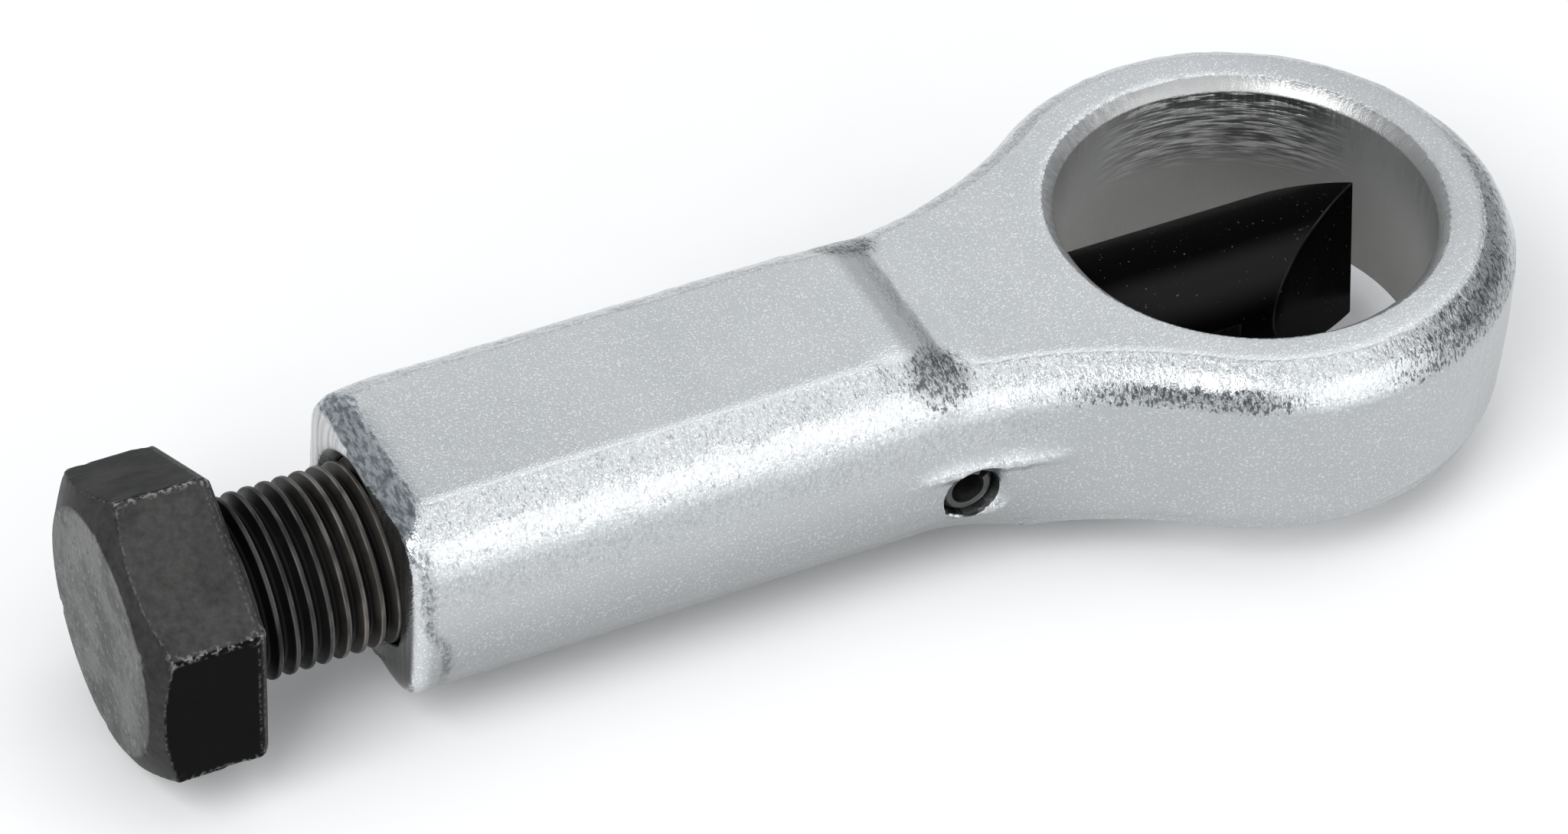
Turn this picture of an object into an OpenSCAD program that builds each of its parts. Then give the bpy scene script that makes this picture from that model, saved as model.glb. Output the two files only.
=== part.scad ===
// Screw-driven nut splitter, drawn in the pose of the photograph.
// The origin is the centre of the nut eye. +X runs along the tool from the hexagon head to the eye,
// +Z is the axis of the eye, and the underside of the tool faces -Z.

/* [Eye] */
// Bore that goes over the nut
eye_d = 33; // [24:0.5:42]
// Radial width and depth of the chamfer on both rims of the bore
eye_chamfer = 1.1; // [0.4:0.1:2]
// Wall of the ring round the bore
ring_wall = 7.1; // [6:0.1:10]
// Thickness of the ring, rim to rim
ring_h = 18; // [17:0.5:24]
// Rounding of the ring's upper outer edge
ring_edge_top = 4; // [2:0.5:5]
// Rounding of the ring's lower outer edge
ring_edge_low = 3; // [2:0.5:5]

/* [Shank] */
// Distance from the centre of the eye to the milled end face
shank_reach = 83; // [76:1:110]
// Width of the shank across its sides
shank_w = 24; // [22:0.5:30]
// Height of the shank's top above the ring's top
shank_rise = 1.65; // [0.5:0.05:4]
// Rounding of the shank's long edges
shank_edge = 5.7; // [3:0.1:7]
// Concave radius where the shank widens into the ring
neck_r = 40; // [20:1:60]
// Length along the neck in which the shank's rounding narrows to the ring's lower one
edge_runout = 9; // [5:1:14]
// Distance from the centre of the eye to the foot of the step on top
step_reach = 32; // [29:0.5:36]
// Length of the rounded ramp from the foot of the step to the shank's top
step_run = 4.7; // [3:0.1:8]
// Length of the rounding at the end face, along the shank
end_run = 3.5; // [2:0.1:5]
// Height of the rounding at the end face
end_drop = 1.4; // [0.8:0.1:2]
// Length of the rounded upright corners at the end face, along the shank
corner_run = 2.4; // [1.5:0.1:4]
// Depth of the rounded upright corners, across the shank
corner_drop = 1.2; // [0.5:0.1:1.4]

/* [Screw] */
// Outer diameter of the thread, drawn as a plain cylinder
thread_d = 15.8; // [12:0.1:16.2]
// Advance of the screw in one turn
thread_pitch = 1.5; // [1:0.25:2]
// Length of the screw under its head
screw_l = 50; // [45:1:60]
// Hexagon across its flats
hex_af = 24; // [19:1:30]
// Height of the hexagon head
head_h = 10; // [8:0.5:14]
// Diameter of the flat left inside the head's outer chamfer
head_flat_d = 21.1; // [15:0.1:28]
// Slope of the chamfer on both ends of the hexagon
head_chamfer_angle = 30; // [15:1:40]
// Chamfer at the screw's tip
tip_chamfer = 1; // [0.5:0.1:2]
// Exposed length of the screw between its head and the end face
screw_exposed = 12.64; // [6:0.02:20]
// Turn of the hexagon from a corner straight up
hex_turn = 2; // [0:1:59]

/* [Chisel] */
// Diameter of the chisel
chisel_d = 13.6; // [10:0.1:14]
// Angle between the two ground faces
wedge_angle = 60; // [45:1:75]
// Distance of the cutting edge past the centre of the eye
edge_reach = 11.4; // [5:0.1:12]
// Chamfer at the chisel's rear end
rear_chamfer = 0.8; // [0.3:0.1:1.5]
// Travel left towards the far wall of the eye
feed_ahead = 4; // [2:0.5:5]
// Travel back until the chisel clears the eye
feed_back = 25.5; // [15:0.5:27]

/* [Roll pin] */
// Diameter of the slotted spring pin
pin_d = 5; // [3:0.5:6]
// Wall of the spring pin
pin_wall = 1; // [0.5:0.1:1.5]
// Width of the pin's slit
pin_slit = 1; // [0.5:0.1:2]
// Direction of the slit, up from +X
pin_slit_angle = 43; // [0:1:359]
// Length of the pin
pin_l = 22; // [16:0.5:24]
// Distance from the centre of the eye to the pin
pin_reach = 32; // [28:0.5:38]
// Distance of the pin below the chisel's axis
pin_drop = 3; // [2:0.1:5]
// Chamfer at both mouths of the pin hole
pin_mouth = 0.4; // [0.2:0.1:1]

/* [Fits] */
// Radial running clearance of the screw in the shank
screw_clearance = 0.05; // [0.01:0.01:0.1]
// Radial sliding clearance of the chisel in its bore
chisel_clearance = 0.05; // [0.01:0.01:0.1]
// Gap between the pin and the flat milled on the chisel
relief_gap = 1.1; // [0.3:0.1:1.5]
// Gap left between the pin and the edge of the flat, with the chisel rolled towards the pin
roll_gap = 0.13; // [0.1:0.01:0.3]
// Gap between the pin and the ends of the flat at the ends of the travel
stop_gap = 0.3; // [0.2:0.1:1]
// Gap between the screw's tip and the chisel
thrust_gap = 0.05; // [0.02:0.01:0.2]
// Radial width and depth of the countersink at the mouth of the thread
mouth_chamfer = 0.95; // [0.3:0.05:1.2]
// Distance that the thread goes on past the tip at full feed
thread_runout = 1; // [0.5:0.5:3]

/* [Hidden] */
$fn = 64;
eps = 0.01;
over = 1;

eye_r = eye_d / 2;
ring_r = eye_r + ring_wall;
ring_top = ring_h / 2;
underside = -ring_h / 2;
shank_top = ring_top + shank_rise;
shank_half = shank_w / 2;
end_x = -shank_reach;
step_x = -step_reach;

// Radius of an arc that starts level and drops by a height over a run
function drop_radius(run, drop) = (run * run + drop * drop) / (2 * drop);

// Depth at which the blends start under the skins of the shank and the ring, so that they grow out of them
blend_bite = 0.06;
// The concave neck leaves the shank's side at neck_x and meets the ring on the line to the eye's centre
neck_y = shank_half + neck_r - blend_bite;
neck_x = -sqrt(pow(ring_r + neck_r - blend_bite, 2) - pow(neck_y, 2));
// The shank's rounding leaves the widening neck along an arc that clears the ring's rounding after edge_runout
edge_lag = max((shank_edge - ring_edge_low) * (sqrt(2) - 1), 0.2);
runout_r = 1 / (2 * edge_lag / (edge_runout * edge_runout) + sqrt(1 / 2) / neck_r);

screw_r = thread_d / 2;
thread_bore_r = screw_r + screw_clearance;
head_x = end_x - screw_exposed;
screw_tip_x = head_x + screw_l;
thread_end_x = screw_tip_x + feed_ahead + thread_runout;
hex_corner_r = hex_af / 2 / cos(30);
head_chamfer = (hex_corner_r - head_flat_d / 2) * tan(head_chamfer_angle);
washer_chamfer = (hex_corner_r - hex_af / 2) * tan(head_chamfer_angle);

chisel_r = chisel_d / 2;
chisel_bore_r = chisel_r + chisel_clearance;
chisel_rear_x = screw_tip_x + thrust_gap;
wedge_l = chisel_r / tan(wedge_angle / 2);
// The guide bore starts behind the withdrawn chisel, which matters where the thread is narrower than the chisel
guide_x = chisel_rear_x - feed_back - stop_gap;
bore_step = abs(thread_bore_r - chisel_bore_r);

pin_r = pin_d / 2;
pin_x = -pin_reach;
pin_z = -pin_drop;
// The pin runs under a flat milled about halfway into the chisel, and the gap between them lets the chisel roll
flat_z = pin_z + pin_r + relief_gap;
chisel_roll = -asin((relief_gap - roll_gap) / chisel_r);
relief_x0 = pin_x - pin_r - stop_gap - feed_ahead;
relief_x1 = pin_x + pin_r + stop_gap + feed_back;

// A profile in Y and Z, drawn out along X
module along_x(x0, x1) {
    translate([x0, 0, 0])
        rotate([90, 0, 90])
            linear_extrude(x1 - x0)
                children();
}

// A profile in X and Z, drawn out along Y on both sides of the middle
module across_y(w) {
    rotate([90, 0, 0])
        linear_extrude(w, center = true)
            children();
}

// A profile of radius and length, turned about the X axis
module turned_about_x() {
    rotate([0, 90, 0])
        rotate_extrude($fn = 96)
            children();
}

module bar_along_x(r, x0, x1) {
    translate([x0, 0, 0])
        rotate([0, 90, 0])
            cylinder(r = r, h = x1 - x0);
}

module cone_along_x(r0, r1, x0, x1) {
    translate([x0, 0, 0])
        rotate([0, 90, 0])
            cylinder(r1 = r0, r2 = r1, h = x1 - x0);
}

// What a rounding of radius r takes off a corner at the origin whose sides run to -X and -Y
module rounding(r) {
    difference() {
        translate([-r, -r])
            square(r + over);
        translate([-r, -r])
            circle(r);
    }
}

module shank_section() {
    difference() {
        translate([-shank_half, underside])
            square([shank_w, shank_top - underside]);
        for (side = [0, 1])
            mirror([side, 0]) {
                translate([shank_half, shank_top])
                    rounding(shank_edge);
                translate([shank_half, underside])
                    mirror([0, 1])
                        rounding(shank_edge);
            }
    }
}

// What an arc takes off that leaves a level edge at the origin and drops over a run towards +X
module falling_arc(run, drop) {
    r = drop_radius(run, drop);
    difference() {
        translate([0, -r])
            square([run + over, r + over]);
        translate([0, -r])
            circle(r, $fn = 128);
    }
}

// Seen from the side: flat underside, top rounded down to the end face and down the step to the ring
module shank_side() {
    difference() {
        translate([end_x, underside])
            square([step_x - end_x, shank_top - underside]);
        translate([end_x + end_run, shank_top])
            mirror([1, 0])
                falling_arc(end_run, end_drop);
        translate([step_x - step_run, shank_top])
            falling_arc(step_run, shank_rise);
    }
}

// Seen from above: straight sides, rounded in to the end face
module shank_plan() {
    difference() {
        translate([end_x, -shank_half])
            square([step_x - end_x, shank_w]);
        for (side = [0, 1])
            mirror([0, side])
                translate([end_x + corner_run, shank_half])
                    mirror([1, 0])
                        falling_arc(corner_run, corner_drop);
    }
}

module shank() {
    intersection() {
        along_x(end_x, step_x)
            shank_section();
        across_y(shank_w + 2 * over)
            shank_side();
        translate([0, 0, underside - over])
            linear_extrude(shank_top - underside + 2 * over)
                shank_plan();
    }
}

module ring() {
    rotate_extrude($fn = 128)
        difference() {
            translate([0, underside])
                square([ring_r, ring_h]);
            translate([ring_r, ring_top])
                rounding(ring_edge_top);
            translate([ring_r, underside])
                mirror([0, 1])
                    rounding(ring_edge_low);
        }
}

// The hollow beside the neck, with its upper and lower edges flared as the ring's are rounded
module neck_hollow() {
    rotate_extrude($fn = 128) {
        translate([0, underside - over])
            square([neck_r, ring_h + 2 * over]);
        translate([neck_r, ring_top])
            mirror([1, 0])
                rounding(ring_edge_top);
        translate([neck_r, underside])
            mirror([1, 0])
                mirror([0, 1])
                    rounding(ring_edge_low);
    }
}

// The shank's lower rounding, carried on past its end along an arc that leaves the edge at 45 degrees
module rounding_runout() {
    outward = (runout_r - blend_bite) * sqrt(1 / 2);
    translate([neck_x, shank_half + outward, underside - outward])
        rotate([-45, 0, 0])
            rotate([0, 0, -90])
                rotate_extrude($fn = 256)
                    translate([runout_r, 0])
                        rotate(135)
                            rounding(shank_edge);
}

module neck() {
    difference() {
        translate([0, 0, underside])
            linear_extrude(ring_h)
                polygon([[0, 0], [neck_x, neck_y], [neck_x, -neck_y]]);
        for (side = [0, 1])
            mirror([0, side, 0]) {
                translate([neck_x, neck_y, 0])
                    neck_hollow();
                rounding_runout();
            }
    }
}

module eye_cut() {
    cylinder(r = eye_r, h = ring_h + 2 * over, center = true, $fn = 128);
    for (side = [0, 1])
        mirror([0, 0, side])
            translate([0, 0, ring_top - eye_chamfer])
                cylinder(r1 = eye_r, r2 = eye_r + eye_chamfer + over, h = eye_chamfer + over, $fn = 128);
}

// Thread bore from the end face, its countersunk mouth, and the narrower bore that guides the chisel
module axial_bores() {
    bar_along_x(thread_bore_r, end_x - over, thread_end_x);
    cone_along_x(thread_bore_r, chisel_bore_r, thread_end_x - eps, thread_end_x + bore_step);
    cone_along_x(thread_bore_r + mouth_chamfer + over, thread_bore_r, end_x - over, end_x + mouth_chamfer);
    bar_along_x(chisel_bore_r, guide_x, 0);
}

module pin_hole() {
    wall_y = neck_y - sqrt(neck_r * neck_r - pow(max(pin_x - neck_x, 0), 2));
    translate([pin_x, 0, pin_z])
        rotate([90, 0, 0]) {
            cylinder(r = pin_r, h = 2 * ring_r, center = true);
            for (side = [0, 1])
                mirror([0, 0, side])
                    translate([0, 0, wall_y - pin_mouth])
                        cylinder(r1 = pin_r, r2 = pin_r + pin_mouth + over, h = pin_mouth + over);
        }
}

module body() {
    color("lightsteelblue")
        difference() {
            union() {
                shank();
                neck();
                ring();
            }
            eye_cut();
            axial_bores();
            pin_hole();
        }
}

module roll_pin() {
    color("dimgray")
        translate([pin_x, 0, pin_z])
            rotate([90, 0, 0])
                difference() {
                    cylinder(r = pin_r, h = pin_l, center = true);
                    cylinder(r = pin_r - pin_wall, h = pin_l + 2 * over, center = true);
                    rotate([0, 0, pin_slit_angle])
                        translate([0, -pin_slit / 2, -pin_l / 2 - over])
                            cube([pin_d, pin_slit, pin_l + 2 * over]);
                }
}

// The plan of the chisel: a bar ground to a wedge from both sides
module wedge_plan() {
    polygon([
        [chisel_rear_x - over, -chisel_r - over],
        [edge_reach - wedge_l - over / tan(wedge_angle / 2), -chisel_r - over],
        [edge_reach, 0],
        [edge_reach - wedge_l - over / tan(wedge_angle / 2), chisel_r + over],
        [chisel_rear_x - over, chisel_r + over]
    ]);
}

module chisel() {
    color("#2b2b2d")
        rotate([chisel_roll, 0, 0])
            difference() {
                intersection() {
                    union() {
                        cone_along_x(chisel_r - rear_chamfer, chisel_r, chisel_rear_x, chisel_rear_x + rear_chamfer);
                        bar_along_x(chisel_r, chisel_rear_x + rear_chamfer, edge_reach);
                    }
                    linear_extrude(chisel_d + 2 * over, center = true)
                        wedge_plan();
                }
                translate([relief_x0, -chisel_r - over, -chisel_r - over])
                    cube([relief_x1 - relief_x0, chisel_d + 2 * over, flat_z + chisel_r + over]);
            }
}

// Outline that both chamfers of the hexagon are turned to, as radius and distance from the washer face
module head_turning() {
    polygon([
        [0, 0],
        [hex_af / 2, 0],
        [hex_corner_r, -washer_chamfer],
        [hex_corner_r, -head_h + head_chamfer],
        [head_flat_d / 2, -head_h],
        [0, -head_h]
    ]);
}

module hex_head() {
    translate([head_x, 0, 0])
        intersection() {
            turned_about_x()
                head_turning();
            rotate([90 + hex_turn, 0, 0])
                along_x(-head_h, 0)
                    circle(hex_corner_r + eps, $fn = 6);
        }
}

module pressure_screw() {
    color("#343434")
        union() {
            hex_head();
            bar_along_x(screw_r, head_x, screw_tip_x - tip_chamfer);
            cone_along_x(screw_r, screw_r - tip_chamfer, screw_tip_x - tip_chamfer, screw_tip_x);
        }
}

body();
roll_pin();
chisel();
pressure_screw();
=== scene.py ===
# %% [markdown]
# # A screw-driven nut splitter
# A nut splitter frees a seized nut by breaking it. The eye goes over the nut, and turning the hexagon
# drives a screw, which pushes a wedge-shaped chisel through one side of the nut.
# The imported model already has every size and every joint. This lesson dresses it: each piece is made
# again with the edges, the thread and the skin that the real steel has, and stays where the model says.

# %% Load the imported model
import bmesh
import bpy
import math
from mathutils import Matrix, Quaternion, Vector, noise


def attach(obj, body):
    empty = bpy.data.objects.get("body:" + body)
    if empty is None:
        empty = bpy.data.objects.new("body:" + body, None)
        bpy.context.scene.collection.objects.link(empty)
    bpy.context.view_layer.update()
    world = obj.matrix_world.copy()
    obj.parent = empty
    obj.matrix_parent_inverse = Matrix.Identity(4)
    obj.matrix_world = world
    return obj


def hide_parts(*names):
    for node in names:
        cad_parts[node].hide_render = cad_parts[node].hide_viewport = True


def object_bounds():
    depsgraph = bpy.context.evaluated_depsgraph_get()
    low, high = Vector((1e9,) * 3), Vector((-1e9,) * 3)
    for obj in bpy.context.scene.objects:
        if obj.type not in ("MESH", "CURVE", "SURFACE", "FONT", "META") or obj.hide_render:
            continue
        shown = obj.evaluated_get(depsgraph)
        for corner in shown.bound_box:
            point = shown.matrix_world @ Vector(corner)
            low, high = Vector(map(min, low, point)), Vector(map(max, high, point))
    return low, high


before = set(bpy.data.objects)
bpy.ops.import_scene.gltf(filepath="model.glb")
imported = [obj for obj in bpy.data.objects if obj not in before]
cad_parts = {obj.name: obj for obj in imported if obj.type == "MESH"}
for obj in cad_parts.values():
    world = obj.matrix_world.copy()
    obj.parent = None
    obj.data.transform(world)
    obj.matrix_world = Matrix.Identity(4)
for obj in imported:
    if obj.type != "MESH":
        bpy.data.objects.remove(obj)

cad_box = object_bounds()
scene = bpy.context.scene
MM = 0.001

# %% [markdown]
# ## The camera
# The photograph was taken with a long lens from above, to the left of the shank. The place, the tilt and
# the lens were solved beforehand from the outlines of the eye, the shank, the thread and the hexagon.
# A camera that looks at a point needs only that point, its own place and a small roll about its line of
# sight.

# %% Camera
CAMERA_PLACE = Vector((-219.75, -337.06, 341.33)) * MM
CAMERA_AIM = Vector((-43.984, 0.0, 0.555)) * MM
CAMERA_ROLL = math.radians(2.132)
SENSOR_WIDTH, FOCAL_LENGTH = 36, 139.05
NEAREST_SEEN = 0.01

camera_data = bpy.data.cameras.new("photo_camera")
camera_data.sensor_width = SENSOR_WIDTH
camera_data.lens = FOCAL_LENGTH
camera_data.clip_start = NEAREST_SEEN
camera = bpy.data.objects.new("photo_camera", camera_data)
scene.collection.objects.link(camera)
line_of_sight = (CAMERA_AIM - CAMERA_PLACE).to_track_quat("-Z", "Y")
camera.location = CAMERA_PLACE
camera.rotation_euler = (line_of_sight @ Quaternion((0, 0, 1), CAMERA_ROLL)).to_euler()
scene.camera = camera
scene.view_settings.view_transform = "Standard"
print("camera distance", round((CAMERA_AIM - CAMERA_PLACE).length, 4), "m")

# %% [markdown]
# ## Helpers for pieces
# Every piece is a mesh whose place is in its vertices, so its object stays at the origin. Modifiers are
# applied at once: what is left is the plain mesh that the next step works on.

# %% Piece helpers
def put(name, mesh):
    """A new object at the origin that shows a mesh."""
    piece = bpy.data.objects.new(name, mesh)
    scene.collection.objects.link(piece)
    return piece


def mesh_from(bm, name):
    """Turns a bmesh into a mesh and lets the bmesh go."""
    mesh = bpy.data.meshes.new(name)
    bm.to_mesh(mesh)
    bm.free()
    return mesh


def apply_modifiers(piece):
    """Swaps a piece's mesh for the one that its modifiers make."""
    graph = bpy.context.evaluated_depsgraph_get()
    finished = bpy.data.meshes.new_from_object(piece.evaluated_get(graph))
    piece.modifiers.clear()
    piece.data = finished


def even_faces(piece, depth):
    """Covers a closed piece with small faces of one size, which keep its sharp edges."""
    remesh = piece.modifiers.new("even_faces", "REMESH")
    remesh.mode = "SHARP"
    remesh.octree_depth = depth
    remesh.scale = 0.98
    remesh.sharpness = 1.0
    remesh.use_remove_disconnected = False
    apply_modifiers(piece)


def store(mesh, name, values, domain="POINT"):
    """Keeps one number for each vertex, or each face, under a name that a material can read."""
    layer = mesh.attributes.new(name, "FLOAT", domain)
    layer.data.foreach_set("value", values)


def shade_smooth(mesh):
    """Shades every face as part of one curved skin."""
    mesh.polygons.foreach_set("use_smooth", [True] * len(mesh.polygons))


def smooth_step(low, high, value):
    """0 on the low side and 1 on the high side, with a soft change between; low may be the larger one."""
    t = min(max((value - low) / (high - low), 0.0), 1.0)
    return t * t * (3 - 2 * t)


def window(value, rise, full, fall, end):
    """1 between full and fall, and 0 before rise and past end."""
    return smooth_step(rise, full, value) * smooth_step(end, fall, value)


def tilt_of(normal):
    """The angle between a normal and straight up, in degrees."""
    return math.degrees(math.acos(max(-1.0, min(1.0, normal.z))))


def open_edges(bm):
    """How many edges don't have two faces: none, on a closed piece."""
    return sum(1 for edge in bm.edges if not edge.is_manifold)


def ease(bm, verts, passes):
    """Moves each vertex halfway to the middle of its neighbours, a number of times over."""
    for _ in range(passes):
        bmesh.ops.smooth_vert(bm, verts=verts, factor=0.5, use_axis_x=True, use_axis_y=True, use_axis_z=True)


def crease_weights(bm, angle, rings, fade):
    """For each vertex, 1 on an edge sharper than the angle, and less for each ring of faces away from it."""
    weights = [0.0] * len(bm.verts)
    for edge in bm.edges:
        if edge.calc_face_angle(0.0) > angle:
            for vert in edge.verts:
                weights[vert.index] = 1.0
    for _ in range(rings):
        spread = list(weights)
        for edge in bm.edges:
            a, b = edge.verts[0].index, edge.verts[1].index
            spread[a] = max(spread[a], weights[b] * fade)
            spread[b] = max(spread[b], weights[a] * fade)
        weights = spread
    return weights


# %% [markdown]
# ## Helpers for finishes
# A finish is a node tree that ends in one Principled shader. Patterns read Object coordinates, in metres,
# or one of the numbers that a piece keeps for each of its vertices or faces, so they stay put on the piece.

# %% Finish helpers
def new_finish(name, metallic):
    """A material with only its Principled shader set up: the tree and the shader come back with it."""
    finish = bpy.data.materials.new(name)
    finish.use_nodes = True
    shader = finish.node_tree.nodes["Principled BSDF"]
    shader.inputs["Metallic"].default_value = metallic
    return finish, finish.node_tree, shader


def wire(tree, kind, outlet=0, settings=None, **inlets):
    """Adds a node, sets or links its inlets by name, and gives back one of its outlets."""
    added = tree.nodes.new("ShaderNode" + kind)
    for key, value in (settings or {}).items():
        setattr(added, key, value)
    for key, value in inlets.items():
        inlet = added.inputs[key.replace("_", " ")]
        if isinstance(value, bpy.types.NodeSocket):
            tree.links.new(value, inlet)
        else:
            inlet.default_value = value
    return added.outputs[outlet]


def sums(tree, operation, *values):
    """A Math node on sockets or plain numbers."""
    added = tree.nodes.new("ShaderNodeMath")
    added.operation = operation
    for inlet, value in zip(added.inputs, values):
        if isinstance(value, bpy.types.NodeSocket):
            tree.links.new(value, inlet)
        else:
            inlet.default_value = value
    return added.outputs[0]


def times(tree, first, second):
    """The product of two sockets or plain numbers."""
    return sums(tree, "MULTIPLY", first, second)


def between(tree, value, low, high, start=0.0, end=1.0):
    """Maps a value from low..high to start..end, smoothly and no further."""
    return wire(tree, "MapRange", settings={"interpolation_type": "SMOOTHSTEP"}, Value=value,
                From_Min=low, From_Max=high, To_Min=start, To_Max=end)


def blend(tree, factor, first, second):
    """A colour between two colours or sockets."""
    added = tree.nodes.new("ShaderNodeMix")
    added.data_type = "RGBA"
    for index, value in ((0, factor), (6, first), (7, second)):
        if isinstance(value, bpy.types.NodeSocket):
            tree.links.new(value, added.inputs[index])
        elif index:
            added.inputs[index].default_value = (*value, 1)
        else:
            added.inputs[index].default_value = value
    return added.outputs[2]


def places(tree, stretch=(1, 1, 1), turn=(0, 0, 0)):
    """Object coordinates, stretched and turned."""
    where = wire(tree, "TexCoord", "Object")
    return wire(tree, "Mapping", Vector=where, Scale=stretch, Rotation=turn)


def speckle(tree, where, scale, detail=2.0, roughness=0.5, distortion=0.0):
    """Soft noise whose patches are about one over the scale wide, in metres."""
    return wire(tree, "TexNoise", "Fac", Vector=where, Scale=scale, Detail=detail,
                Roughness=roughness, Distortion=distortion)


def kept(tree, name):
    """The number that a piece keeps for each vertex or face under this name."""
    return wire(tree, "Attribute", "Fac", settings={"attribute_name": name})


def relief(tree, shader, height, distance):
    """Lets a height pattern tilt the shading, as relief of that many metres."""
    normal = wire(tree, "Bump", Height=height, Distance=distance)
    tree.links.new(normal, shader.inputs["Normal"])


# %% [markdown]
# ## Floor and light
# Bright metal shows what stands round it more than its own colour. A dim light low behind the tool is
# mirrored by the flats, a brighter one overhead by the start of each rounded edge, and one in front is the
# glare further down. A fourth, from the left, is for the floor and the black pieces, and the room is dim.

# %% Floor
FLOOR_HALF = 2.5
bm = bmesh.new()
bmesh.ops.create_grid(bm, x_segments=1, y_segments=1, size=FLOOR_HALF)
bmesh.ops.translate(bm, verts=bm.verts, vec=(0, 0, cad_box[0][2]))
floor = put("floor", mesh_from(bm, "floor"))
paper, tree, shader = new_finish("pale_paper", metallic=0.0)
shader.inputs["Roughness"].default_value = 0.9
shader.inputs["Specular IOR Level"].default_value = 0.1
fibres = speckle(tree, places(tree), 90, detail=4)
tree.links.new(blend(tree, fibres, (0.88, 0.885, 0.89), (0.91, 0.913, 0.916)), shader.inputs["Base Color"])
floor.data.materials.append(paper)
print("floor at", round(cad_box[0][2], 5), "m")


# %% Light
def soft_light(name, towards, distance, width, height, radiance):
    """A light that faces the tool from a direction, with the same brightness at any size."""
    data = bpy.data.lights.new(name, "AREA")
    data.shape = "RECTANGLE"
    data.size = width
    data.size_y = height
    data.energy = radiance * math.pi * width * height
    light = bpy.data.objects.new(name, data)
    scene.collection.objects.link(light)
    away = Vector(towards).normalized()
    light.location = CAMERA_AIM + away * distance
    light.rotation_euler = (-away).to_track_quat("-Z", "Y").to_euler()


soft_light("back_light", towards=(0.34, 0.80, 0.48), distance=0.9, width=1.0, height=0.62, radiance=0.42)
soft_light("over_light", towards=(0.34, 0.0, 0.94), distance=0.9, width=1.12, height=0.7, radiance=0.86)
soft_light("near_light", towards=(0.34, -0.84, 0.42), distance=0.75, width=1.0, height=0.66, radiance=1.3)
soft_light("fill_light", towards=(-0.60, -0.35, 0.72), distance=1.0, width=0.6, height=0.6, radiance=6.0)

ROOM_COLOUR, ROOM_STRENGTH = (0.95, 0.98, 1.0, 1), 0.42
room = bpy.data.worlds.new("dim_room")
scene.world = room
room.use_nodes = True
room.node_tree.nodes["Background"].inputs["Color"].default_value = ROOM_COLOUR
room.node_tree.nodes["Background"].inputs["Strength"].default_value = ROOM_STRENGTH

# %% [markdown]
# ## The forged body
# The real body is drop-forged, shot-blasted and zinc-plated. Its flats have a fine grain, its rounded edges
# are dimpled by the dies, and only the eye, the end face and the holes are cut by a tool.
# It could be modelled from blocks with bevels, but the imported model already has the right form, so a copy
# of it is merged, covered with small even faces and then worked like clay: edges are eased, the ramp of the
# step and the far corner of the end are eased most, the skin is dented inwards, and the trimmed flash stands
# up as a ridge by the pin.

# %% Body: even faces
EYE_R, EYE_CHAMFER, RING_TOP = 16.5, 1.1, 9.0
END_X = -83.0
PIN_X, PIN_Z, PIN_HOLE_R, PIN_MOUTH = -32.0, -3.0, 2.5, 0.45
BORE_R, MOUTH_CHAMFER = 7.95, 0.95
STEP_CORNER = Vector((-34.4, 9.2, 8.9))


def merged_copy(node, name):
    """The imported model's mesh is loose triangles, so a copy of it is merged into one skin."""
    bm = bmesh.new()
    bm.from_mesh(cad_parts[node].data)
    bmesh.ops.remove_doubles(bm, verts=bm.verts, dist=1e-6)
    return put(name, mesh_from(bm, name))


forged_body = merged_copy("body", "forged_body")
even_faces(forged_body, depth=8)
print("forged body", len(forged_body.data.polygons), "faces")

# %% Body: ease the edges
EDGE_ANGLE = math.radians(18)
RAMP_START, RAMP_END, RAMP_LOW = -39.5, -30.0, 7.8
STRUCK_LENGTH, STRUCK_R = 4.5, 9.4
FAR_CORNER_Y, FAR_CORNER_LOW = 5.5, (-0.5, 1.0, 2.5, 4.0)

bm = bmesh.new()
bm.from_mesh(forged_body.data)
weights = crease_weights(bm, EDGE_ANGLE, rings=1, fade=0.9)
on_edges = [v for v in bm.verts if weights[v.index] > 0.5]
ease(bm, on_edges, passes=3)
on_ramp = [v for v in bm.verts if RAMP_START < v.co.x / MM < RAMP_END and v.co.z > RAMP_LOW * MM]
ease(bm, on_ramp, passes=90)
struck_end = [v for v in bm.verts
              if v.co.x < (END_X + STRUCK_LENGTH) * MM and math.hypot(v.co.y, v.co.z) > STRUCK_R * MM]
ease(bm, struck_end, passes=10)
for low in FAR_CORNER_LOW:
    far_corner = [v for v in struck_end if v.co.y > FAR_CORNER_Y * MM and v.co.z > low * MM]
    ease(bm, far_corner, passes=12)
bm.normal_update()
print("eased", len(on_edges), "on edges,", len(on_ramp), "on the ramp,", len(struck_end), "at the end")


# %% Body: which tool made the skin
BORE_FRONT_X, PIN_HOLE_SHADE = -10, 0.45


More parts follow.
